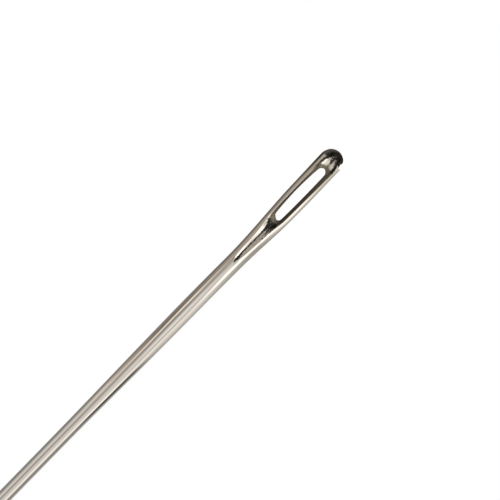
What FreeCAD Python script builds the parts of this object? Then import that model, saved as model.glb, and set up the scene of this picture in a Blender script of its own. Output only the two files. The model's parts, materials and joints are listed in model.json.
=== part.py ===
"""A long hand-sewing needle: round steel wire, ground to a point at one end and pressed to a broad, eyed head.

The needle is one solid, drawn along its own X axis from the point to the crown. It then lies as it rests on a
table, with its shank and one edge of its broad head on z = 0, and the origin under the middle of its length.
Sizes are in millimetres.
"""

import FreeCAD
import Part
import Sketcher
import math
import os

Vec = FreeCAD.Vector

# Alias, value and meaning of every driving size
SIZES = [
    ("needle_length", 127.0, "overall length, point to crown"),
    ("shank_width", 1.8, "diameter of the round shank"),
    ("point_length", 24.0, "length of the ground, tapering point"),
    ("point_radius", 0.04, "radius at the very end of the point"),
    ("press_run_out", 18.5, "length over which the round shank turns oval"),
    ("neck_length", 11.2, "length of the even, oval neck"),
    ("neck_width", 2.24, "width of the oval neck"),
    ("neck_thickness", 1.52, "thickness of the oval neck"),
    ("flare_length", 10.2, "length over which the neck widens, up to the middle of the eye"),
    ("foot_width", 2.86, "width of the head at the lower end of the eye"),
    ("limb_span", 3.06, "width across the two limbs beside the eye"),
    ("head_thickness", 1.42, "thickness of the head before the eye is struck"),
    ("head_width", 3.16, "greatest width of the head, at the crown"),
    ("crown_thickness", 1.5, "thickness of the head at the crown"),
    ("head_set", 0.18, "how far the foot of the eye sits to one side of the shank's axis"),
    ("crown_length", 2.8, "solid metal beyond the upper end of the eye"),
    ("eye_length", 8.7, "length of the opening"),
    ("eye_width", 1.3, "width of the opening"),
    ("eye_land", 0.3, "height of the straight, punched wall round the opening"),
    ("eye_lean", 31.0, "lean of the struck walls above the land, in degrees"),
    ("burnish_radius", 0.13, "rounding between the land and the struck walls"),
    ("gutter_length", 7.55, "length of the thread gutter below the eye"),
    ("gutter_width", 1.84, "width of the gutter where it meets the eye"),
    ("ramp_length", 1.9, "length of the steeper ramp from the gutter into the eye"),
    ("ramp_lean", 38.0, "lean of each wall of the ramp, in degrees"),
    ("saddle_length", 1.75, "length of the short gutter above the eye"),
]
SIZE = {alias: value for alias, value, meaning in SIZES}

doc = FreeCAD.newDocument("long_needle")
sheet = doc.addObject("Spreadsheet::Sheet", "Sizes")
for row, (alias, value, meaning) in enumerate(SIZES, start=1):
    sheet.set("A%d" % row, alias)
    sheet.set("B%d" % row, str(value))
    sheet.set("C%d" % row, meaning)
    sheet.setAlias("B%d" % row, alias)
doc.recompute()

body = doc.addObject("PartDesign::Body", "needle")
body.Label = "needle"


def origin_item(role):
    """Return the body's own plane or axis with this role."""
    return [item for item in body.Origin.OriginFeatures if item.Role == role][0]


def sketch_on(plane, name):
    """Add a sketch on one of the body's own planes."""
    sketch = body.newObject("Sketcher::SketchObject", name)
    sketch.AttachmentSupport = [(origin_item(plane), "")]
    sketch.MapMode = "FlatFace"
    return sketch


def section(name, station, aside):
    """Add a sketch across the needle, a distance back from the crown and a distance to one side."""
    sketch = sketch_on("YZ_Plane", name)
    sketch.setExpression("AttachmentOffset.Base.z", "Sizes.needle_length - (" + station + ")")
    sketch.setExpression("AttachmentOffset.Base.x", "-(" + aside + ")")
    return sketch


def measure(sketch, name, expression, *constraint):
    """Add a named dimension to a sketch and let an expression drive it."""
    index = sketch.addConstraint(Sketcher.Constraint(*constraint))
    sketch.renameConstraint(index, name)
    sketch.setExpression("Constraints." + name, expression)


# Distances from the end of the crown back to the stations of the head
CROWN_CENTRE = "(Sizes.head_width / 2)"
EYE_MIDDLE = "(Sizes.crown_length + Sizes.eye_length / 2)"
EYE_FOOT = "(Sizes.crown_length + Sizes.eye_length)"
GUTTER_START = "(" + EYE_FOOT + " + Sizes.gutter_length)"
FLARE_START = "(" + EYE_MIDDLE + " + Sizes.flare_length)"
NECK_START = "(" + FLARE_START + " + Sizes.neck_length)"
ROUND_START = "(" + NECK_START + " + Sizes.press_run_out)"

# The round shank with its ground point, turned about the needle's axis
half = SIZE["shank_width"] / 2
tip = SIZE["point_radius"]
taper = SIZE["point_length"]
bend = ((taper - tip) ** 2 + half ** 2 - tip ** 2) / (2 * (half - tip))
lean = math.atan2(taper - tip, bend - half)
reach = SIZE["needle_length"] * 0.63
profile = sketch_on("XZ_Plane", "wire_profile")
profile.addGeometry([
    Part.LineSegment(Vec(0, 0, 0), Vec(reach, 0, 0)),
    Part.LineSegment(Vec(reach, 0, 0), Vec(reach, half, 0)),
    Part.LineSegment(Vec(reach, half, 0), Vec(taper, half, 0)),
    Part.ArcOfCircle(Part.Circle(Vec(taper, half - bend, 0), Vec(0, 0, 1), bend), math.pi / 2, math.pi / 2 + lean),
    Part.ArcOfCircle(Part.Circle(Vec(tip, 0, 0), Vec(0, 0, 1), tip), math.pi / 2 + lean, math.pi),
], False)
profile.addConstraint([
    Sketcher.Constraint("Coincident", 0, 1, -1, 1),
    Sketcher.Constraint("Horizontal", 0),
    Sketcher.Constraint("Coincident", 0, 2, 1, 1),
    Sketcher.Constraint("Vertical", 1),
    Sketcher.Constraint("Coincident", 1, 2, 2, 1),
    Sketcher.Constraint("Horizontal", 2),
    Sketcher.Constraint("Tangent", 2, 2, 3, 1),
    Sketcher.Constraint("Tangent", 3, 2, 4, 1),
    Sketcher.Constraint("Coincident", 4, 2, 0, 1),
    Sketcher.Constraint("PointOnObject", 4, 3, 0),
])
measure(profile, "radius", "Sizes.shank_width / 2", "DistanceY", 1, 1, 1, 2, half)
measure(profile, "taper", "Sizes.point_length", "DistanceX", 0, 1, 2, 2, taper)
measure(profile, "tip", "Sizes.point_radius", "Radius", 4, tip)
measure(profile, "reach", "Sizes.needle_length - " + ROUND_START, "DistanceX", 0, 1, 0, 2, reach)
wire = body.newObject("PartDesign::Revolution", "wire")
wire.Profile = profile
wire.ReferenceAxis = (origin_item("X_Axis"), "")
wire.Angle = 360

# The ovals that the wire is pressed to, from the round shank up to the crown
round_end = section("round_end", ROUND_START, "0")
round_end.addGeometry(Part.Circle(Vec(0, 0, 0), Vec(0, 0, 1), half), False)
round_end.addConstraint(Sketcher.Constraint("Coincident", 0, 3, -1, 1))
measure(round_end, "radius", "Sizes.shank_width / 2", "Radius", 0, half)


def oval(name, station, width, thickness, aside):
    """Add an oval section across the needle."""
    sketch = section(name, station, aside)
    sketch.addGeometry(Part.Ellipse(Vec(1.5, 0, 0), Vec(0, 0.7, 0), Vec(0, 0, 0)), False)
    sketch.exposeInternalGeometry(0)
    sketch.addConstraint(Sketcher.Constraint("Coincident", 0, 3, -1, 1))
    sketch.addConstraint(Sketcher.Constraint("Horizontal", 1))
    measure(sketch, "width", width, "Distance", 1, 3.0)
    measure(sketch, "thickness", thickness, "Distance", 2, 1.4)
    return sketch


lower_run_out = oval(
    "lower_run_out", NECK_START + " + Sizes.press_run_out * 2 / 3",
    "Sizes.shank_width * 0.6 + Sizes.neck_width * 0.4",
    "Sizes.shank_width * 0.7 + Sizes.neck_thickness * 0.3", "Sizes.head_set * 0.15")
upper_run_out = oval(
    "upper_run_out", NECK_START + " + Sizes.press_run_out / 3",
    "Sizes.shank_width * 0.2 + Sizes.neck_width * 0.8",
    "Sizes.shank_width * 0.25 + Sizes.neck_thickness * 0.75", "Sizes.head_set * 0.28")
neck_start = oval(
    "neck_start", NECK_START, "Sizes.neck_width", "Sizes.neck_thickness", "Sizes.head_set * 0.3")
neck_middle = oval(
    "neck_middle", FLARE_START + " + Sizes.neck_length / 2",
    "Sizes.neck_width * 1.002", "Sizes.neck_thickness", "Sizes.head_set * 0.45")
flare_start = oval(
    "flare_start", FLARE_START, "Sizes.neck_width * 1.02", "Sizes.neck_thickness", "Sizes.head_set * 0.85")
flare_middle = oval(
    "flare_middle", "(" + FLARE_START + " + " + EYE_FOOT + ") / 2",
    "Sizes.neck_width * 0.52 + Sizes.foot_width * 0.48",
    "Sizes.neck_thickness * 0.64 + Sizes.head_thickness * 0.36", "Sizes.head_set")
FOOT_THICKNESS = "(Sizes.neck_thickness * 0.25 + Sizes.head_thickness * 0.75)"
eye_foot = oval("eye_foot", EYE_FOOT, "Sizes.foot_width", FOOT_THICKNESS, "Sizes.head_set")
lower_limbs = oval(
    "lower_limbs", EYE_FOOT + " * 2 / 3 + " + CROWN_CENTRE + " / 3",
    "Sizes.limb_span", "Sizes.head_thickness", "Sizes.head_set * 0.66")
upper_limbs = oval(
    "upper_limbs", EYE_FOOT + " / 3 + " + CROWN_CENTRE + " * 2 / 3",
    "Sizes.limb_span * 0.5 + Sizes.head_width * 0.5", "Sizes.head_thickness", "Sizes.head_set * 0.4")
crown_start = oval(
    "crown_start", CROWN_CENTRE, "Sizes.head_width", "Sizes.crown_thickness", "Sizes.head_set * 0.1")

# The crown's end is round in plan, so its ovals stand at even steps of angle round its centre
crown_ovals = [
    oval("crown_turn_%d" % turn, CROWN_CENTRE + " * (1 - sin(%d))" % turn,
         "Sizes.head_width * cos(%d)" % turn, "Sizes.crown_thickness * cos(%d)" % turn, "Sizes.head_set * 0.1")
    for turn in (21, 42, 63, 84)
]


def pressed(name, first, *others):
    """Add one stretch of the pressed end, from oval to oval."""
    loft = body.newObject("PartDesign::AdditiveLoft", name)
    loft.Profile = first
    loft.Sections = list(others)
    return loft


pressed("run_out", round_end, lower_run_out, upper_run_out, neck_start)
pressed("neck", neck_start, neck_middle, flare_start)
pressed("flare", flare_start, flare_middle, eye_foot)
pressed("head", eye_foot, lower_limbs, upper_limbs, crown_start)
blank = pressed("crown", crown_start, *crown_ovals)
doc.recompute()

# The eye: a punched slot with bowed sides, in a deeper recess whose struck walls lean outwards
upper = SIZE["eye_width"] * 0.42
lower = SIZE["eye_width"] * 0.4
far_end = SIZE["eye_length"] / 2
bow = 63.0
bow_x = 0.2
bow_y = SIZE["eye_width"] / 2 - bow
near = math.atan2(-bow_y, far_end - upper - bow_x)
far = math.atan2(-bow_y, lower - far_end - bow_x)
eye_plan = sketch_on("XY_Plane", "eye_plan")
eye_plan.setExpression("AttachmentOffset.Base.x", "Sizes.needle_length - " + EYE_MIDDLE)
eye_plan.setExpression("AttachmentOffset.Base.y", "-Sizes.head_set * 0.6")
eye_plan.setExpression("AttachmentOffset.Base.z", "Sizes.eye_land / 2")
eye_plan.addGeometry([
    Part.ArcOfCircle(Part.Circle(Vec(far_end - upper, 0, 0), Vec(0, 0, 1), upper), -near, near),
    Part.ArcOfCircle(Part.Circle(Vec(bow_x, bow_y, 0), Vec(0, 0, 1), bow), near, far),
    Part.ArcOfCircle(Part.Circle(Vec(lower - far_end, 0, 0), Vec(0, 0, 1), lower), far, 2 * math.pi - far),
    Part.ArcOfCircle(Part.Circle(Vec(bow_x, -bow_y, 0), Vec(0, 0, 1), bow), -far, -near),
], False)
eye_plan.addGeometry(Part.Point(Vec(bow_x, bow_y + bow, 0)), True)
eye_plan.addConstraint([
    Sketcher.Constraint("Tangent", 0, 2, 1, 1),
    Sketcher.Constraint("Tangent", 1, 2, 2, 1),
    Sketcher.Constraint("Tangent", 2, 2, 3, 1),
    Sketcher.Constraint("Tangent", 3, 2, 0, 1),
    Sketcher.Constraint("PointOnObject", 0, 3, -1),
    Sketcher.Constraint("PointOnObject", 2, 3, -1),
    Sketcher.Constraint("Equal", 1, 3),
    Sketcher.Constraint("PointOnObject", 4, 1, 1),
    Sketcher.Constraint("Vertical", 4, 1, 1, 3),
])
measure(eye_plan, "upper_radius", "Sizes.eye_width * 0.42", "Radius", 0, upper)
measure(eye_plan, "lower_radius", "Sizes.eye_width * 0.4", "Radius", 2, lower)
measure(eye_plan, "upper_reach", "Sizes.eye_length / 2 - Sizes.eye_width * 0.42",
        "DistanceX", -1, 1, 0, 3, far_end - upper)
measure(eye_plan, "lower_reach", "Sizes.eye_length / 2 - Sizes.eye_width * 0.4",
        "DistanceX", 2, 3, -1, 1, far_end - lower)
measure(eye_plan, "half_width", "Sizes.eye_width / 2", "DistanceY", -1, 1, 4, 1, SIZE["eye_width"] / 2)
eye = body.newObject("PartDesign::Pocket", "eye")
eye.Profile = eye_plan
eye.Type = "Length"
eye.setExpression("Length", "Sizes.eye_land")
recess = body.newObject("PartDesign::Pocket", "recess")
recess.Profile = eye_plan
recess.Type = "Length"
recess.setExpression("Length", "Sizes.crown_thickness")
recess.setExpression("TaperAngle", "Sizes.eye_lean")
recess.Reversed = True

# How much the V of the gutters, and the steeper V of the ramp, opens per millimetre of height, and how high
# above the middle their floors run into the eye, just clear of its burnished edge
WIDE = "Sizes.gutter_width / (Sizes.head_thickness * 0.33)"
STEEP = "2 * tan(Sizes.ramp_lean)"
SILL = "(Sizes.eye_land / 2 + Sizes.burnish_radius * 0.5)"


def vee(name, station, floor, opening):
    """Add a V section across the needle, its floor at a height above the middle of the thickness."""
    sketch = section(name, station, "Sizes.head_set * 0.8")
    sketch.addGeometry([
        Part.LineSegment(Vec(0, 0.3, 0), Vec(1.5, 1.5, 0)),
        Part.LineSegment(Vec(1.5, 1.5, 0), Vec(-1.5, 1.5, 0)),
        Part.LineSegment(Vec(-1.5, 1.5, 0), Vec(0, 0.3, 0)),
    ], False)
    sketch.addConstraint([
        Sketcher.Constraint("Coincident", 0, 2, 1, 1),
        Sketcher.Constraint("Coincident", 1, 2, 2, 1),
        Sketcher.Constraint("Coincident", 2, 2, 0, 1),
        Sketcher.Constraint("PointOnObject", 0, 1, -2),
        Sketcher.Constraint("Symmetric", 1, 1, 1, 2, -2),
    ])
    measure(sketch, "floor", floor, "DistanceY", -1, 1, 0, 1, 0.3)
    measure(sketch, "top", "Sizes.neck_thickness", "DistanceY", -1, 1, 1, 1, 1.5)
    measure(sketch, "span", "(Sizes.neck_thickness - " + floor + ") * " + opening,
            "DistanceX", 1, 2, 1, 1, 3.0)
    return sketch


def groove(name, first, *others):
    """Cut one groove, from V to V."""
    loft = body.newObject("PartDesign::SubtractiveLoft", name)
    loft.Profile = first
    loft.Sections = list(others)
    loft.Ruled = True
    return loft


# The thread gutter below the eye, the ramp at its end, and the short saddle above the eye
gutter = groove(
    "gutter",
    vee("gutter_tip", GUTTER_START, "Sizes.neck_thickness * 0.5", WIDE),
    vee("gutter_nose", EYE_FOOT + " + Sizes.gutter_length * 0.9", "Sizes.neck_thickness * 0.395", WIDE),
    vee("gutter_middle", EYE_FOOT + " + Sizes.gutter_length * 0.6", "Sizes.neck_thickness * 0.283", WIDE),
    vee("gutter_low", EYE_FOOT + " + Sizes.gutter_length * 0.25", "Sizes.head_thickness * 0.21", WIDE),
    vee("gutter_foot", EYE_FOOT, "Sizes.head_thickness * 0.17", WIDE),
    vee("gutter_exit", EYE_FOOT + " - Sizes.eye_length * 0.1", "Sizes.head_thickness * 0.32", WIDE))
ramp = groove(
    "ramp",
    vee("ramp_top", EYE_FOOT + " + Sizes.ramp_length", "Sizes.head_thickness * 0.23", STEEP),
    vee("ramp_foot", EYE_FOOT, SILL, STEEP),
    vee("ramp_exit", EYE_FOOT + " - Sizes.eye_width * 0.4", SILL + " + Sizes.head_thickness * 0.04", STEEP))
saddle = groove(
    "saddle",
    vee("saddle_exit", "Sizes.crown_length + Sizes.eye_length * 0.1", "Sizes.head_thickness * 0.32", WIDE),
    vee("saddle_start", "Sizes.crown_length", SILL, WIDE),
    vee("saddle_end", "Sizes.crown_length - Sizes.saddle_length * 0.75", "Sizes.crown_thickness * 0.2", WIDE),
    vee("saddle_nose", "Sizes.crown_length - Sizes.saddle_length", "Sizes.crown_thickness * 0.5", WIDE))
doc.recompute()
volumes = [item.Shape.Volume for item in (blank, eye, recess, gutter, ramp, saddle)]
if sorted(volumes, reverse=True) != volumes or len(set(volumes)) != len(volumes):
    raise RuntimeError("a cut takes no metal away")

# The struck cuts again from the other face
both_faces = body.newObject("PartDesign::Mirrored", "both_faces")
both_faces.Originals = [recess, gutter, ramp, saddle]
both_faces.MirrorPlane = (origin_item("XY_Plane"), [""])
body.Tip = both_faces
doc.recompute()

# The burnished edges of the eye, where the land meets the struck walls of either face
eye_end = SIZE["needle_length"] - SIZE["crown_length"]
land_edges = []
for number, edge in enumerate(both_faces.Shape.Edges, start=1):
    box = edge.BoundBox
    level = box.ZLength < 0.001 and abs(abs(box.ZMax) - SIZE["eye_land"] / 2) < 0.001
    within = eye_end - SIZE["eye_length"] - 0.01 < box.XMin and box.XMax < eye_end + 0.01
    if level and within:
        land_edges.append("Edge%d" % number)
if len(land_edges) != 8:
    raise RuntimeError("the land of the eye has %d edges" % len(land_edges))
burnish = body.newObject("PartDesign::Fillet", "burnish")
burnish.Base = (both_faces, land_edges)
burnish.setExpression("Radius", "Sizes.burnish_radius")
body.Tip = burnish

# At rest the needle has rolled on its shank until the edge of the head meets the table at the foot of the eye.
# The roll is where the lowest point of the oval there comes level with the underside of the shank.
SPREAD = "((Sizes.foot_width ^ 2 - " + FOOT_THICKNESS + " ^ 2) / 4 - Sizes.head_set ^ 2)"
RISE = "((Sizes.shank_width ^ 2 - " + FOOT_THICKNESS + " ^ 2) / 4)"
SET = "(Sizes.shank_width * Sizes.head_set / 2)"
SINE = "(sqrt(max(0; " + SET + " ^ 2 + " + SPREAD + " * " + RISE + ")) - " + SET + ") / " + SPREAD
body.Placement = FreeCAD.Placement(Vec(0, 0, 0), FreeCAD.Rotation(Vec(1, 0, 0), 20))
body.setExpression("Placement.Base.x", "-Sizes.needle_length / 2")
body.setExpression("Placement.Base.z", "max(Sizes.shank_width; Sizes.crown_thickness) / 2")
body.setExpression("Placement.Rotation.Angle", "asin(max(0; " + SINE + "))")
doc.recompute()

for item in doc.Objects:
    if "Invalid" in item.State or "Error" in item.State:
        raise RuntimeError("%s did not build: %s" % (item.Name, item.State))
if body.Shape.isNull() or not body.Shape.isValid() or len(body.Shape.Solids) != 1:
    raise RuntimeError("the needle is not one sound solid")
os.makedirs("parts", exist_ok=True)
body.Shape.exportStep("parts/" + body.Label + ".step")
print("needle volume %.3f mm3, rolled %.2f degrees" % (body.Shape.Volume, math.degrees(body.Placement.Rotation.Angle)))
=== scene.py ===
import json
import math
import bmesh
import bpy
from mathutils import Matrix, Vector


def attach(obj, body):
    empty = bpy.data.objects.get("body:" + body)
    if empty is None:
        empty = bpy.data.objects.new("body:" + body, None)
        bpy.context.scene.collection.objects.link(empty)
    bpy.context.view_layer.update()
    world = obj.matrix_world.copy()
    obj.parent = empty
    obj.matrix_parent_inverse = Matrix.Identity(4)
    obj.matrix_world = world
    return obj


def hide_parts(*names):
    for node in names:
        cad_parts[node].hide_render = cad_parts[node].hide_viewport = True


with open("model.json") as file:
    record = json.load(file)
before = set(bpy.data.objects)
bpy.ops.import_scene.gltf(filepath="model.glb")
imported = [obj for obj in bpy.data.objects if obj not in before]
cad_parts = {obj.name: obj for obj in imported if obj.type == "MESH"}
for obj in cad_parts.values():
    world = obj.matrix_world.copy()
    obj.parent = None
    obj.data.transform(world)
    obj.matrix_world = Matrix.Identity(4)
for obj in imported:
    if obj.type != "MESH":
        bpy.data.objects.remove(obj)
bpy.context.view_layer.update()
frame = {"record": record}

# The needle's wire. The real needle starts as a length of round steel wire, 1.8 mm thick, cut to 127 mm.
# One end is ground to a long point. The other is pressed between dies, which spread it into an oval neck
# and a broad flat head with a half-round crown.
MM = 0.001
SHANK = 1.8 * MM
LENGTH = 127.0 * MM
TAPER = 24.0 * MM
TIP_RADIUS = 0.04
CROWN_CENTRE = 1.58 * MM

# The wire is shaped in millimetres, with its point towards -X, and brought to metres once it is whole.
# Each ring round it has 32 corners, a quarter of them from one edge to the middle of the top face. A
# struck floor takes up the corners that are fewer than three from that middle, and its rim is the third.
SIDES = 32
QUARTER = SIDES // 4
RIM = 3

# Distance back from the crown, width, thickness and set to one side of the pressed end, in millimetres
PRESSED = [
    (47.1, 1.80, 1.80, 0.0), (40.9, 1.976, 1.716, 0.027), (34.7, 2.152, 1.59, 0.05),
    (28.5, 2.24, 1.52, 0.055), (23.0, 2.244, 1.52, 0.081), (17.35, 2.285, 1.52, 0.153),
    (14.4, 2.538, 1.484, 0.18), (11.5, 2.86, 1.445, 0.18), (8.2, 3.06, 1.42, 0.119),
    (4.9, 3.11, 1.42, 0.072), (1.58, 3.16, 1.50, 0.018),
]

# The dies also strike a V gutter for the thread, a ramp into the eye, and a short saddle above the eye.
# Distance back from the crown, how far the cut sits to one side, half its width, the height of its floor
# above the middle of the thickness, where the line between floor and rim runs (its share of the way out and
# its share of the way up), and how far the floor's deepest line leans the other way
STRUCK = [
    (18.85, 0.01, 0.10, 0.73, 0.5, 0.5, 0.0), (18.6, 0.01, 0.20, 0.67, 0.5, 0.5, 0.0),
    (18.15, 0.0, 0.33, 0.61, 0.5, 0.5, 0.05), (17.2, 0.01, 0.44, 0.54, 0.5, 0.5, 0.10),
    (16.0, 0.05, 0.49, 0.47, 0.5, 0.5, 0.11), (14.8, 0.08, 0.55, 0.42, 0.5, 0.5, 0.11),
    (13.7, 0.08, 0.61, 0.37, 0.5, 0.5, 0.10), (12.9, 0.06, 0.70, 0.32, 0.55, 0.42, 0.05),
    (12.1, 0.06, 0.85, 0.19, 0.7, 0.25, 0.0), (2.45, 0.10, 1.04, 0.27, 0.84, 0.36, 0.0),
    (2.05, 0.09, 1.00, 0.33, 0.84, 0.4, 0.0), (1.7, 0.08, 0.92, 0.39, 0.82, 0.45, 0.0),
    (1.42, 0.07, 0.76, 0.47, 0.78, 0.5, 0.0), (1.2, 0.06, 0.48, 0.56, 0.6, 0.5, 0.0),
]

# Round the eye the cut has only its rim: distance back, how far it sits to one side, and half its width.
# Between the rims lies a web of even slope until the punch takes it out.
EYE_STRUCK = [
    (11.3, 0.08, 0.95), (10.2, 0.08, 0.98), (8.8, 0.09, 1.00), (7.2, 0.10, 1.02), (5.6, 0.11, 1.05),
    (4.2, 0.11, 1.08), (3.1, 0.11, 1.07),
]
EYE_RINGS = [back for back, set_aside, rim in EYE_STRUCK]
EYE_WEB = (0.3, 0.5, 0.5, 0.0)

# Rings with nothing struck into them: behind the ground tip, along the wire, and round the crown in degrees
UNSTRUCK = (0.0,) * 6
POINT_RINGS = (0.0, 0.04, 0.3, 1.2, 3.2, 6.4, 10.6, 15.6, 20.5)
PLAIN_RINGS = (103.0, 52.0, 47.1, 40.9, 37.8, 34.7, 28.5, 25.8, 23.0, 21.4, 20.2, 19.15)
CROWN_TURNS = (35, 46, 57, 68, 78, 84)
GATHERED_TIP = 0.09
GATHERED_PER_MM = 0.055


def oval_at(back):
    """The width, thickness and set of the pressed wire between its measured ovals, this far from the crown."""
    if back >= PRESSED[0][0]:
        return PRESSED[0][1:]
    if back <= PRESSED[-1][0]:
        return PRESSED[-1][1:]
    upper = next(i for i, oval in enumerate(PRESSED) if oval[0] <= back)
    nearby = [min(max(i, 0), len(PRESSED) - 1) for i in range(upper - 2, upper + 2)]
    before, first, last, after = (PRESSED[i] for i in nearby)
    share = (first[0] - back) / (first[0] - last[0])
    sizes = []
    for a, b, c, d in zip(before[1:], first[1:], last[1:], after[1:]):
        rise_b, rise_c = (c - a) / 2, (d - b) / 2
        sizes.append(b + rise_b * share + (3 * (c - b) - 2 * rise_b - rise_c) * share ** 2
                     + (2 * (b - c) + rise_b + rise_c) * share ** 3)
    return sizes


def point_radius(from_tip):
    """The radius of the ground point, this far behind its tip: an arc that ends level with the shank."""
    full, tip, taper = SHANK / 2 / MM, TIP_RADIUS, TAPER / MM
    bend = ((taper - tip) ** 2 + full ** 2 - tip ** 2) / (2 * (full - tip))
    return full - bend + math.sqrt(bend ** 2 - (taper - from_tip) ** 2)


def gathered(back):
    """The share of the half width that the middle corners span: they draw in towards the gutter's tip."""
    even = math.cos(math.radians(360 / SIDES * (QUARTER - RIM)))
    if back < STRUCK[0][0]:
        return even
    return min(even, GATHERED_TIP + GATHERED_PER_MM * (back - PLAIN_RINGS[-1]))


def ring_sides(back, turn, set_aside, rim, floor, out, up, lean):
    """One ring of the needle, as points across it from the +Y side over the top face and back underneath."""
    width, thick, aside = oval_at(back)
    half, deep = width / 2 * math.cos(turn), thick / 2 * math.cos(turn)
    if back > (LENGTH - TAPER) / MM:
        half = deep = point_radius(LENGTH / MM - back)
    ends = []
    for side in (1, -1):
        reach = side * rim - set_aside + aside if rim else side * half * gathered(back)
        ends.append(math.acos(reach / half))
    outer = QUARTER - RIM
    ways, rises = (0, out / 2, out), (0, up / 2, up)
    points = []
    for column in range(SIDES // 2 + 1):
        from_middle = column - QUARTER
        steps = abs(from_middle)
        if steps < RIM:
            angle = ends[0] + (ends[1] - ends[0]) * (from_middle + RIM) / (2 * RIM)
        elif from_middle < 0:
            angle = ends[0] * column / outer
        else:
            angle = ends[1] + (math.pi - ends[1]) * (from_middle - RIM) / outer
        y, z = half * math.cos(angle) - aside, deep * math.sin(angle)
        if rim and steps < RIM:
            y = -set_aside - math.copysign(rim * ways[steps], from_middle)
            y += lean * (1 - steps / RIM)
            edge = deep * math.sin(ends[0] if from_middle < 0 else ends[1])
            z = floor + (edge - floor) * rises[steps]
        points.append(Vector((0, y, z)))
    under = [Vector((0, point.y, -point.z)) for point in points[1:-1]]
    return points + under[::-1]


rings = [(LENGTH / MM - from_tip, 0.0, *UNSTRUCK) for from_tip in POINT_RINGS]
rings += [(back, 0.0, *UNSTRUCK) for back in PLAIN_RINGS]
for row in STRUCK:
    past_centre = max(0.0, 1 - row[0] / (CROWN_CENTRE / MM))
    rings.append((row[0], math.asin(past_centre), *row[1:]))
rings += [(back, 0.0, set_aside, rim, *EYE_WEB) for back, set_aside, rim in EYE_STRUCK]
for turn in CROWN_TURNS:
    angle = math.radians(turn)
    rings.append((CROWN_CENTRE / MM * (1 - math.sin(angle)), angle, *UNSTRUCK))
rings.sort(key=lambda ring: -ring[0])

wire = bmesh.new()
bmesh.ops.create_circle(wire, segments=SIDES, radius=TIP_RADIUS)
ring_of = wire.verts.layers.int.new("ring")
column_of = wire.verts.layers.int.new("column")
# Each vertex's share of painted shade, in the struck corners and on the walls round the eye
corner_shade = wire.verts.layers.float.new("corner_shade")
wall_shade = wire.verts.layers.float.new("wall_shade")
crease = wire.edges.layers.float.new("crease_edge")
wire.verts.ensure_lookup_table()
in_turn = sorted(wire.verts, key=lambda v: math.atan2(v.co.y, v.co.x) % (2 * math.pi))
for column, vert in enumerate(in_turn):
    vert[column_of] = column
edges = wire.edges[:]
for number, ring in enumerate(rings):
    if number:
        grown = bmesh.ops.extrude_edge_only(wire, edges=edges)["geom"]
        edges = [item for item in grown if isinstance(item, bmesh.types.BMEdge)]
        edges = [edge for edge in edges if len(edge.link_faces) == 1]
    sides = ring_sides(*ring)
    for vert in {vert for edge in edges for vert in edge.verts}:
        vert[ring_of] = number
        vert.co = sides[vert[column_of]] + Vector((LENGTH / MM / 2 - ring[0], 0, 0))
    if number == 0 or number == len(rings) - 1:
        bmesh.ops.contextual_create(wire, geom=edges)

# The eye. The dies strike a recess into both faces of the head, and a punch takes out the thin web between
# them. That leaves a short straight land round the opening, inside struck walls that lean outwards.
RECESS_FOOT = 12.1
RECESS_HEAD = 2.45
LAND = 0.15
EYE_SET = 0.108
EYE_END = 2.8
EYE_FOOT = 11.5
UPPER_RADIUS = 0.546
LOWER_RADIUS = 0.52
EYE_BOWS = (0.72, 0.585)
END_CORNER = math.radians(67.5)
END_LEAN = 0.075
SKEW = 0.6

ring_backs = [ring[0] for ring in rings]
foot_ring = ring_backs.index(RECESS_FOOT)
crown_ring = ring_backs.index(RECESS_HEAD)
inner = range(QUARTER - RIM, QUARTER + RIM)
web = []
for face in wire.faces:
    numbers = [vert[ring_of] for vert in face.verts]
    columns = [min(vert[column_of], SIDES - vert[column_of]) for vert in face.verts]
    if len(numbers) == 4 and min(numbers) >= foot_ring and max(numbers) <= crown_ring:
        if min(columns) in inner and max(columns) - 1 in inner:
            web.append(face)
bmesh.ops.delete(wire, geom=web, context="FACES")


def land_outline(vert):
    """Where this vertex of the recess's rim meets the land: along the bowed sides or round either end."""
    number, column = vert[ring_of], vert[column_of]
    across = (QUARTER - min(column, SIDES - column)) / RIM
    height = LAND if column <= SIDES // 2 else -LAND
    lower, upper = EYE_FOOT - LOWER_RADIUS, EYE_END + UPPER_RADIUS
    if number in (foot_ring, crown_ring):
        turn = END_CORNER * across
        at_foot = number == foot_ring
        centre, radius, way = (lower, LOWER_RADIUS, 1) if at_foot else (upper, UPPER_RADIUS, -1)
        straight = SKEW if (across > 0) == at_foot else 0.0
        round_end, slanted_end = math.cos(turn), 1 - abs(math.sin(turn))
        back = centre + way * radius * (round_end + (slanted_end - round_end) * straight)
        aside = radius * math.sin(turn) - END_LEAN * math.cos(turn) ** 2
    else:
        share = (EYE_RINGS[0] - ring_backs[number]) / (EYE_RINGS[0] - EYE_RINGS[-1])
        back = lower + (upper - lower) * share
        straight = LOWER_RADIUS + (UPPER_RADIUS - LOWER_RADIUS) * share
        bow = EYE_BOWS[0 if across > 0 else 1] - (LOWER_RADIUS + UPPER_RADIUS) / 2
        aside = math.copysign(straight + bow * 4 * share * (1 - share), across)
    return Vector((LENGTH / MM / 2 - back, aside - EYE_SET, height))


open_edges = [edge for edge in wire.edges if edge.is_boundary]
rim_edges = set(open_edges)
grown = bmesh.ops.extrude_edge_only(wire, edges=open_edges)["geom"]
land_verts = [item for item in grown if isinstance(item, bmesh.types.BMVert)]
land_edges = [item for item in grown if isinstance(item, bmesh.types.BMEdge) and item.is_boundary]
for vert in land_verts:
    vert.co = land_outline(vert)
bmesh.ops.bridge_loops(wire, edges=land_edges)

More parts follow.
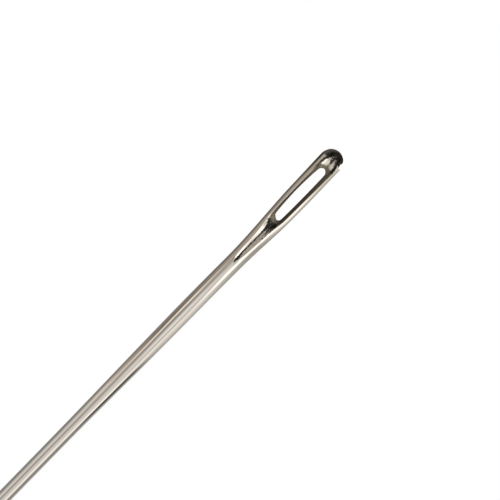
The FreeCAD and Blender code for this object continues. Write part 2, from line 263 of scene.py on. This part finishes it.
# Struck edges are sharp where the die's edge bit, and a little rounder round the eye, which is burnished
DEEPEST_LINE = 1.0
STRUCK_RIM = 0.55
LAND_EDGE = 0.6
RECESS_EDGE = 0.5
struck_rings = {ring_backs.index(row[0]) for row in STRUCK}
eye_rings = {ring_backs.index(back) for back in EYE_RINGS}
for edge in wire.edges:
    numbers = {vert[ring_of] for vert in edge.verts}
    columns = {min(vert[column_of], SIDES - vert[column_of]) for vert in edge.verts}
    if len(numbers) == 2 and numbers <= struck_rings and columns == {QUARTER}:
        edge[crease] = DEEPEST_LINE
    if len(numbers) == 2 and numbers <= struck_rings | eye_rings and len(columns) == 1:
        if columns <= {QUARTER - RIM, QUARTER + RIM}:
            edge[crease] = STRUCK_RIM
for edges, sharpness in ((land_edges, LAND_EDGE), (rim_edges, RECESS_EDGE)):
    for edge in edges:
        if edge.is_valid:
            edge[crease] = sharpness

# Painted shade darkens the struck corners and recesses: how dark it is in each row, from the +Y rim across
# the floor to the -Y rim. The walls round the eye and its land are darkened with painted shade too.
CORNER_SHADE_ROWS = {
    18.85: (0.4, 0.9, 1.0, 1.0, 1.0, 0.9, 0.4), 18.6: (0.4, 1.0, 1.0, 1.0, 1.0, 1.0, 0.5),
    18.15: (0.0, 0.3, 0.85, 1.0, 1.0, 0.75, 0.3), 17.2: (0.0, 0.0, 0.6, 1.0, 0.5, 0.1, 0.3),
    16.0: (0.0, 0.0, 0.45, 1.0, 0.45, 0.4, 0.45), 14.8: (0.0, 0.0, 0.43, 1.0, 0.4, 0.55, 0.55),
    13.7: (0.0, 0.0, 0.55, 1.0, 0.45, 0.6, 0.65), 12.9: (0.0, 0.25, 0.95, 1.0, 0.75, 0.85, 0.6),
    12.1: (0.1, 1.0, 0.85, 0.6, 0.7, 1.0, 0.3), 4.2: (0.3, 0.0, 0.0, 0.0, 0.0, 0.0, 0.0),
    3.1: (0.9, 0.0, 0.0, 0.0, 0.0, 0.0, 0.7), 2.45: (0.9, 0.6, 0.0, 0.2, 0.2, 1.0, 0.95),
    2.05: (0.95, 0.7, 0.0, 0.45, 0.1, 1.0, 1.0), 1.7: (1.0, 0.7, 0.1, 0.95, 0.2, 1.0, 1.0),
    1.42: (1.0, 0.65, 0.6, 1.0, 0.4, 0.75, 1.0), 1.2: (1.0, 0.7, 0.8, 1.0, 0.7, 0.6, 1.0),
}
# Painted shade, dark brown, on the struck floor at either end of the eye: how dark it is in each row
WALL_SHADE_ROWS = {
    12.1: (0.0, 0.2, 0.4, 0.45, 0.4, 0.3, 0.0), 2.45: (0.0, 0.0, 0.2, 0.45, 0.3, 0.2, 0.0),
    2.05: (0.0, 0.0, 0.0, 0.35, 0.1, 0.0, 0.0), 1.7: (0.0, 0.0, 0.0, 0.3, 0.0, 0.0, 0.0),
}
WALL_SHADE_RIM = 0.24
CROWN_SHADE = 0.8
for vert in wire.verts:
    across = min(vert[column_of], SIDES - vert[column_of]) - QUARTER
    back = ring_backs[vert[ring_of]]
    for rows, layer in ((CORNER_SHADE_ROWS, corner_shade), (WALL_SHADE_ROWS, wall_shade)):
        if back in rows and abs(across) <= RIM:
            vert[layer] = rows[back][across + RIM]
    if vert[ring_of] in eye_rings and abs(across) == RIM:
        vert[wall_shade] = WALL_SHADE_RIM
    # The crown's first ring takes painted shade across its middle
    if vert[ring_of] == len(rings) - len(CROWN_TURNS) and abs(across) <= RIM:
        vert[corner_shade] = CROWN_SHADE
# The land round the opening takes full painted wall shade and none of the painted corner shade
for vert in land_verts:
    vert[wall_shade] = 1.0
    vert[corner_shade] = 0.0

# The needle rests on its shank and one edge of its head. The lean of the eye's axis gives its roll.
eye_axis = next(mount["axis"] for mount in frame["record"]["mounts"] if mount["name"] == "eye")
roll = math.atan2(-eye_axis[1], eye_axis[2])
bmesh.ops.rotate(wire, verts=wire.verts, cent=(0, 0, 0), matrix=Matrix.Rotation(roll, 3, "X"))
bmesh.ops.translate(wire, verts=wire.verts, vec=(0, 0, SHANK / MM / 2))
bmesh.ops.scale(wire, verts=wire.verts, vec=(MM, MM, MM))
bmesh.ops.recalc_face_normals(wire, faces=wire.faces)
for face in wire.faces:
    face.smooth = True
needle_mesh = bpy.data.meshes.new("long_needle")
wire.to_mesh(needle_mesh)
wire.free()
needle = bpy.data.objects.new("long_needle", needle_mesh)
bpy.context.scene.collection.objects.link(needle)
rounding = needle.modifiers.new("die_rounding", "SUBSURF")
rounding.levels = 3
rounding.render_levels = 3
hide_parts("needle")
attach(needle, "root")

# The finish is bright nickel, plated over drawn steel. Drawing and polishing leave fine lines along the
# wire, and the plate is a little warmer in some places than in others. Painted shade darkens the struck
# corners and the walls round the eye, and a darker olive tint is painted as shade round the upper end of the
# eye.
PALE_NICKEL = (0.67, 0.62, 0.545)
WARM_NICKEL = (0.63, 0.57, 0.485)
DRAWN_LINE = (0.50, 0.43, 0.37)
# A darker olive tint, painted as shade round the upper end of the eye
OLIVE_SHADE = (0.585, 0.53, 0.405)
# Dark brown, painted as shade on the walls round the eye
WALL_SHADE_BROWN = (0.17, 0.148, 0.108)
# Near black, painted as shade in the struck corners and recesses
CORNER_SHADE_BLACK = (0.030, 0.026, 0.022)
# Sizes across the wire, and how many times as long along it
LINE_WIDTH, LINE_STRETCH = 0.15 * MM, 300
TARNISH_SIZE, TARNISH_STRETCH = 0.6 * MM, 12
FRAY_SIZE, FRAY_STRETCH = 0.10 * MM, 3
LINE_DEPTH = 0.008 * MM
# How strongly the lines and the painted olive shade colour the plate, and how far noise frays the edge of the
# painted corner shade
LINE_SHARE = 0.7
OLIVE_SHADE_SHARE = 0.9
FRAYED = 0.2
# Roughness of polished plate and in its deepest lines, then of clean plate and of the corners and walls with
# painted shade
LINE_ROUGHNESS = (0.04, 0.11)
CORNER_ROUGHNESS = (0.05, 0.4)
# Ranges over which each sets in: tarnish and fraying, lines, painted corner shade, painted wall shade, and
# the painted olive shade, which lies between two places along the needle, in metres from its middle
NOISE_MIDDLE = (0.35, 0.65)
DEEP_LINES = (0.5, 0.75)
ALL_LINES = (0.3, 0.8)
CORNER_SHADE_EDGE = (0.5, 0.75)
WALL_SHADE_EDGE = (0.12, 0.4)
OLIVE_SHADE_STARTS = (0.0555, 0.0590)
OLIVE_SHADE_ENDS = (0.0605, 0.0618)

nickel = bpy.data.materials.new("nickel_plate")
nickel.use_nodes = True
nodes, links = nickel.node_tree.nodes, nickel.node_tree.links
plate = nodes["Principled BSDF"]
plate.inputs["Metallic"].default_value = 1.0
place = nodes.new("ShaderNodeTexCoord")


def lengthwise(size, stretch):
    """Noise of this size across the wire, drawn out this many times as long along it."""
    lay = nodes.new("ShaderNodeMapping")
    lay.inputs["Scale"].default_value = (1 / stretch, 1, 1)
    lines = nodes.new("ShaderNodeTexNoise")
    lines.inputs["Scale"].default_value = 1 / size
    lines.inputs["Detail"].default_value = 3.0
    lines.inputs["Roughness"].default_value = 0.6
    links.new(place.outputs["Object"], lay.inputs["Vector"])
    links.new(lay.outputs["Vector"], lines.inputs["Vector"])
    return lines.outputs["Fac"]


def painted(name):
    """How strongly painted shade lies on the surface, as it was set for each vertex under this name."""
    layer = nodes.new("ShaderNodeAttribute")
    layer.attribute_name = name
    return layer.outputs["Fac"]


def between(source, low, high, low_out, high_out):
    """The source's range from low to high, turned into the range from low_out to high_out."""
    limits = nodes.new("ShaderNodeMapRange")
    values = (low, high, low_out, high_out)
    for socket, value in zip(("From Min", "From Max", "To Min", "To Max"), values):
        limits.inputs[socket].default_value = value
    links.new(source, limits.inputs["Value"])
    return limits.outputs["Result"]


def joined(operation, first, second=0.0):
    """Two values joined into one by this operation: each is a number or another node's number."""
    join = nodes.new("ShaderNodeMath")
    join.operation = operation
    for socket, value in zip(join.inputs, (first, second)):
        if isinstance(value, float):
            socket.default_value = value
        else:
            links.new(value, socket)
    return join.outputs["Value"]


def tinted(share, first, second):
    """A colour between two others, by a share: each is a colour or another node's colour."""
    blend = nodes.new("ShaderNodeMix")
    blend.data_type = "RGBA"
    links.new(share, blend.inputs["Factor"])
    for socket, colour in ((blend.inputs[6], first), (blend.inputs[7], second)):
        if isinstance(colour, tuple):
            socket.default_value = (*colour, 1)
        else:
            links.new(colour, socket)
    return blend.outputs[2]


draw_lines = lengthwise(LINE_WIDTH, LINE_STRETCH)
tarnish = lengthwise(TARNISH_SIZE, TARNISH_STRETCH)
# Painted shade in the struck corners, its edge frayed by noise
ragged = between(lengthwise(FRAY_SIZE, FRAY_STRETCH), *NOISE_MIDDLE, -FRAYED, FRAYED)
corner_shade_mask = between(joined("ADD", painted("corner_shade"), ragged), *CORNER_SHADE_EDGE, 0.0, 1.0)
# Painted shade on the walls round the eye and its land
wall_shade_mask = between(painted("wall_shade"), *WALL_SHADE_EDGE, 0.0, 1.0)
# Painted olive shade over a band of the needle round the upper end of the eye
where = nodes.new("ShaderNodeSeparateXYZ")
links.new(place.outputs["Object"], where.inputs["Vector"])
olive_shade = joined("MULTIPLY", between(where.outputs["X"], *OLIVE_SHADE_STARTS, 0.0, OLIVE_SHADE_SHARE),
              between(where.outputs["X"], *OLIVE_SHADE_ENDS, 1.0, 0.0))
plate_colour = tinted(between(tarnish, *NOISE_MIDDLE, 0.0, 1.0), PALE_NICKEL, WARM_NICKEL)
plate_colour = tinted(between(draw_lines, *DEEP_LINES, 0.0, LINE_SHARE), plate_colour, DRAWN_LINE)
plate_colour = tinted(olive_shade, plate_colour, OLIVE_SHADE)
# Painted shade, dark brown on the walls round the eye
plate_colour = tinted(wall_shade_mask, plate_colour, WALL_SHADE_BROWN)
# Painted shade, black in the struck corners and recesses
plate_colour = tinted(corner_shade_mask, plate_colour, CORNER_SHADE_BLACK)
links.new(plate_colour, plate.inputs["Base Color"])
line_roughness = between(draw_lines, *ALL_LINES, *LINE_ROUGHNESS)
corner_roughness = between(joined("MAXIMUM", corner_shade_mask, wall_shade_mask), 0.0, 1.0, *CORNER_ROUGHNESS)
links.new(joined("MAXIMUM", line_roughness, corner_roughness), plate.inputs["Roughness"])
relief = nodes.new("ShaderNodeBump")
relief.inputs["Strength"].default_value = 0.5
relief.inputs["Distance"].default_value = LINE_DEPTH
links.new(draw_lines, relief.inputs["Height"])
links.new(relief.outputs["Normal"], plate.inputs["Normal"])
needle_mesh.materials.append(nickel)

# The camera looks straight down on the broad face of the head, from a little towards the +Y side, through a
# long lens. The picture is as wide as 62 mm of the needle, which runs up to the right.
VIEW_LEAN = math.radians(4.5)
VIEW_TURN = math.radians(45.75)
VIEW_WIDTH = 62.07 * MM
VIEW_MIDDLE = 47.03 * MM
VIEW_SHIFT = 0.50 * MM
VIEW_DISTANCE = 0.6
SENSOR = 36.0
look = roll - VIEW_LEAN
towards = Vector((0, -math.sin(look), math.cos(look)))
along = Vector((1, 0, 0))
beside = towards.cross(along)
picture_right = along * math.cos(VIEW_TURN) - beside * math.sin(VIEW_TURN)
picture_up = along * math.sin(VIEW_TURN) + beside * math.cos(VIEW_TURN)
aim = Vector((VIEW_MIDDLE, 0, SHANK / 2)) - beside * VIEW_SHIFT
lens = bpy.data.cameras.new("camera")
lens.sensor_width = SENSOR
lens.lens = SENSOR * VIEW_DISTANCE / VIEW_WIDTH
lens.clip_start = 0.01
camera = bpy.data.objects.new("camera", lens)
pose = Matrix((picture_right, picture_up, towards)).transposed().to_4x4()
pose.translation = aim + towards * VIEW_DISTANCE
camera.matrix_world = pose
bpy.context.scene.collection.objects.link(camera)
bpy.context.scene.camera = camera

# The floor is a plain pale sheet. The camera sees it almost white, with the needle's soft shadow.
FLOOR_SIZE = 3.0
PAPER = (0.88, 0.88, 0.87, 1)
SEEN_WHITE = 0.97
sheet = bmesh.new()
bmesh.ops.create_grid(sheet, x_segments=1, y_segments=1, size=FLOOR_SIZE)
floor_mesh = bpy.data.meshes.new("floor")
sheet.to_mesh(floor_mesh)
sheet.free()
floor = bpy.data.objects.new("floor", floor_mesh)
bpy.context.scene.collection.objects.link(floor)
floor.visible_glossy = False
pale = bpy.data.materials.new("pale_sheet")
pale.use_nodes = True
nodes, links = pale.node_tree.nodes, pale.node_tree.links
nodes.remove(nodes["Principled BSDF"])
paper = nodes.new("ShaderNodeBsdfDiffuse")
paper.inputs["Color"].default_value = PAPER
glow = nodes.new("ShaderNodeEmission")
glow.inputs["Strength"].default_value = 1.0
seen = nodes.new("ShaderNodeLightPath").outputs["Is Camera Ray"]
blend = nodes.new("ShaderNodeMixShader")
links.new(joined("MULTIPLY", seen, SEEN_WHITE), blend.inputs[0])
links.new(paper.outputs["BSDF"], blend.inputs[1])
links.new(glow.outputs["Emission"], blend.inputs[2])
links.new(blend.outputs["Shader"], nodes["Material Output"].inputs["Surface"])
floor_mesh.materials.append(pale)

# The studio is a light tent round the needle: white cloth overhead, with darker gaps at the sides, and a
# dark end beyond the crown. The metal mirrors it; the camera and the floor don't see it.
TENT_RADIUS = 40.0 * MM
TENT_FROM = -0.25
TENT_TO = 0.35
TENT_SEGMENTS = 96
cloth = bmesh.new()
bmesh.ops.create_cone(cloth, cap_ends=True, segments=TENT_SEGMENTS, radius1=TENT_RADIUS,
                      radius2=TENT_RADIUS, depth=TENT_TO - TENT_FROM)
bmesh.ops.rotate(cloth, verts=cloth.verts, cent=(0, 0, 0), matrix=Matrix.Rotation(math.pi / 2, 3, "Y"))
bmesh.ops.translate(cloth, verts=cloth.verts, vec=((TENT_FROM + TENT_TO) / 2, 0, 0))
bmesh.ops.rotate(cloth, verts=cloth.verts, cent=(0, 0, 0), matrix=Matrix.Rotation(look, 3, "X"))
bmesh.ops.translate(cloth, verts=cloth.verts, vec=(0, 0, SHANK / 2))
tent_mesh = bpy.data.meshes.new("light_tent")
cloth.to_mesh(tent_mesh)
cloth.free()
tent = bpy.data.objects.new("light_tent", tent_mesh)
bpy.context.scene.collection.objects.link(tent)
for kind in ("camera", "diffuse", "transmission", "shadow", "volume_scatter"):
    setattr(tent, "visible_" + kind, False)

# Places in the tent are told by their distance along the needle, in metres from its middle towards the
# crown, and by their angle round it, where overhead is zero and the -Y side positive
tent_cloth = bpy.data.materials.new("tent_cloth")
tent_cloth.use_nodes = True
nodes, links = tent_cloth.node_tree.nodes, tent_cloth.node_tree.links
nodes.remove(nodes["Principled BSDF"])
place = nodes.new("ShaderNodeTexCoord")
lift = nodes.new("ShaderNodeVectorMath")
lift.operation = "SUBTRACT"
lift.inputs[1].default_value = (0, 0, SHANK / 2)
upright = nodes.new("ShaderNodeMapping")
upright.vector_type = "POINT"
upright.inputs["Rotation"].default_value = (-look, 0, 0)
parts = nodes.new("ShaderNodeSeparateXYZ")
links.new(place.outputs["Object"], lift.inputs[0])
links.new(lift.outputs["Vector"], upright.inputs["Vector"])
links.new(upright.outputs["Vector"], parts.inputs["Vector"])
along_tent = parts.outputs["X"]
tent_angle = joined("ARCTAN2", joined("MULTIPLY", parts.outputs["Y"], -1.0), parts.outputs["Z"])
around = between(tent_angle, -math.pi, math.pi, 0.0, 1.0)


def tent_panels(*panels):
    """The cloth's brightness round the needle: angles in degrees, each with the level of its panel."""
    ramp = nodes.new("ShaderNodeValToRGB")
    ramp.color_ramp.interpolation = "EASE"
    while len(ramp.color_ramp.elements) < len(panels):
        ramp.color_ramp.elements.new(0.5)
    for element, (degrees, level) in zip(ramp.color_ramp.elements, panels):
        element.position = (degrees + 180) / 360
        element.color = (level, level, level, 1)
    links.new(around, ramp.inputs["Fac"])
    return ramp.outputs["Color"]


by_shank = tent_panels(
    (-180, 0.42), (-130, 0.38), (-104, 0.28), (-88, 0.43), (-70, 0.74), (-54, 0.95), (-42, 0.98),
    (-30, 0.68), (-18, 0.44), (-8, 0.6), (4, 0.88), (18, 0.98), (32, 0.95), (45, 1.35), (56, 1.5),
    (68, 0.64), (82, 0.36), (98, 0.28), (116, 0.55), (180, 0.42))
by_neck = tent_panels(
    (-180, 0.4), (-125, 0.36), (-90, 0.32), (-74, 0.28), (-60, 0.22), (-48, 0.34), (-39, 1.45),
    (-34, 1.3), (-25, 0.45), (-16, 0.36), (-8, 0.58), (4, 1.02), (12, 1.16), (25, 0.72), (33, 0.95),
    (42, 1.3), (54, 1.25), (70, 0.9), (86, 0.75), (106, 0.62), (180, 0.4))
by_gutter = tent_panels(
    (-180, 0.38), (-110, 0.26), (-88, 0.18), (-68, 0.5), (-52, 0.54), (-43, 0.55), (-32, 0.42),
    (-18, 0.6), (-8, 0.74), (6, 0.9), (18, 0.8), (26, 0.95), (33, 2.1), (43, 2.1), (52, 1.05),
    (60, 0.46), (74, 0.46), (88, 0.6), (110, 0.45), (180, 0.3))
by_eye = tent_panels(
    (-180, 0.34), (-116, 0.24), (-96, 0.14), (-78, 0.2), (-62, 0.44), (-48, 0.58), (-38, 0.66),
    (-28, 0.5), (-16, 0.75), (-4, 1.25), (10, 0.8), (22, 1.3), (33, 2.6), (50, 2.3), (62, 1.65),
    (74, 1.25), (88, 0.76), (106, 0.52), (180, 0.36))
by_crown = tent_panels(
    (-180, 0.25), (-92, 0.05), (-68, 0.10), (-52, 0.62), (-40, 0.56), (-20, 0.5), (0, 0.9), (30, 1.8),
    (52, 1.9), (64, 0.95), (84, 0.9), (106, 0.65), (180, 0.36))
# Each set of panels gives way to the next over a short stretch of the needle
NEXT_PANELS = (
    (by_neck, 0.021, 0.031), (by_gutter, 0.0365, 0.0465),
    (by_eye, 0.0470, 0.0530), (by_crown, 0.0575, 0.0605),
)
sides = by_shank
for panels, start, end in NEXT_PANELS:
    sides = tinted(between(along_tent, start, end, 0.0, 1.0), sides, panels)

# Two cloths leave a narrow dark gap between them, low on one side of the shank
GAP_ANGLE = math.radians(82)
GAP_DARKNESS = 0.95
GAP_EDGES = (0.11, 0.28)
GAP_STARTS = (0.0135, 0.0165)
GAP_ENDS = (0.0245, 0.0275)
off_gap = joined("ABSOLUTE", joined("SUBTRACT", tent_angle, GAP_ANGLE))
gap = between(off_gap, *GAP_EDGES, GAP_DARKNESS, 0.0)
gap = joined("MULTIPLY", gap, between(along_tent, *GAP_STARTS, 0.0, 1.0))
gap = joined("MULTIPLY", gap, between(along_tent, *GAP_ENDS, 1.0, 0.0))
sides = tinted(gap, sides, (0.0, 0.0, 0.0))

# The cloth on the +Y side is a little warmer over the crown's half of the needle
COOL_CLOTH = (1.0, 1.01, 1.04)
WARM_CLOTH = (1.05, 0.975, 0.93)
WARM_SIDE = (-0.7, -0.2)
WARM_STARTS = (0.014, 0.028)
warm_side = between(tent_angle, *WARM_SIDE, 1.0, 0.0)
warmth = joined("MULTIPLY", warm_side, between(along_tent, *WARM_STARTS, 0.0, 1.0))
tone = nodes.new("ShaderNodeVectorMath")
tone.operation = "MULTIPLY"
links.new(sides, tone.inputs[0])
links.new(tinted(warmth, COOL_CLOTH, WARM_CLOTH), tone.inputs[1])

# The dark end has a white card low on its -Y side, which the edge of the crown mirrors
END_STARTS = (0.0635, 0.069)
DARKER_SIDE = (-1.0, -0.5)
CARD_SIDE = (1.13, 1.43)
CARD_ENDS = (0.078, 0.084)
DARK_CLOTH = (0.12, 0.115, 0.115)
DARKER_CLOTH = (0.03, 0.03, 0.027)
WHITE_CARD = (3.0, 3.0, 3.0)
past_crown = between(along_tent, *END_STARTS, 0.0, 1.0)
dark_end = tinted(between(tent_angle, *DARKER_SIDE, 0.0, 1.0), DARK_CLOTH, DARKER_CLOTH)
card = joined("MULTIPLY", between(along_tent, *CARD_ENDS, 1.0, 0.0),
              between(tent_angle, *CARD_SIDE, 0.0, 1.0))
far_end = tinted(card, dark_end, WHITE_CARD)
glow = nodes.new("ShaderNodeEmission")
links.new(tinted(past_crown, tone.outputs["Vector"], far_end), glow.inputs["Color"])
links.new(glow.outputs["Emission"], nodes["Material Output"].inputs["Surface"])
tent_mesh.materials.append(tent_cloth)

# A broad soft lamp high above gives the needle its faint shadow, and the room's own light fills it in
ROOM_LEVEL = 0.75
lamp_light = bpy.data.lights.new("soft_lamp", "AREA")
lamp_light.shape = "DISK"
lamp_light.size = 0.5
lamp_light.energy = 4.0
lamp = bpy.data.objects.new("soft_lamp", lamp_light)
lamp.location = (0.1, 0.25, 0.7)
lamp.rotation_euler = (aim - lamp.location).to_track_quat("-Z", "Y").to_euler()
lamp.visible_glossy = False
bpy.context.scene.collection.objects.link(lamp)
room = bpy.data.worlds.new("studio")
room.use_nodes = True
bpy.context.scene.world = room
nodes, links = room.node_tree.nodes, room.node_tree.links
backdrop = nodes["Background"]
backdrop.inputs["Color"].default_value = (1, 1, 1, 1)
ray = nodes.new("ShaderNodeLightPath")
seen_or_mirrored = ray.outputs["Is Camera Ray"]
for kind in ("Is Glossy Ray", "Is Transmission Ray"):
    seen_or_mirrored = joined("MAXIMUM", seen_or_mirrored, ray.outputs[kind])
links.new(between(seen_or_mirrored, 0.0, 1.0, ROOM_LEVEL, 1.0), backdrop.inputs["Strength"])
bpy.context.scene.view_settings.view_transform = "Standard"
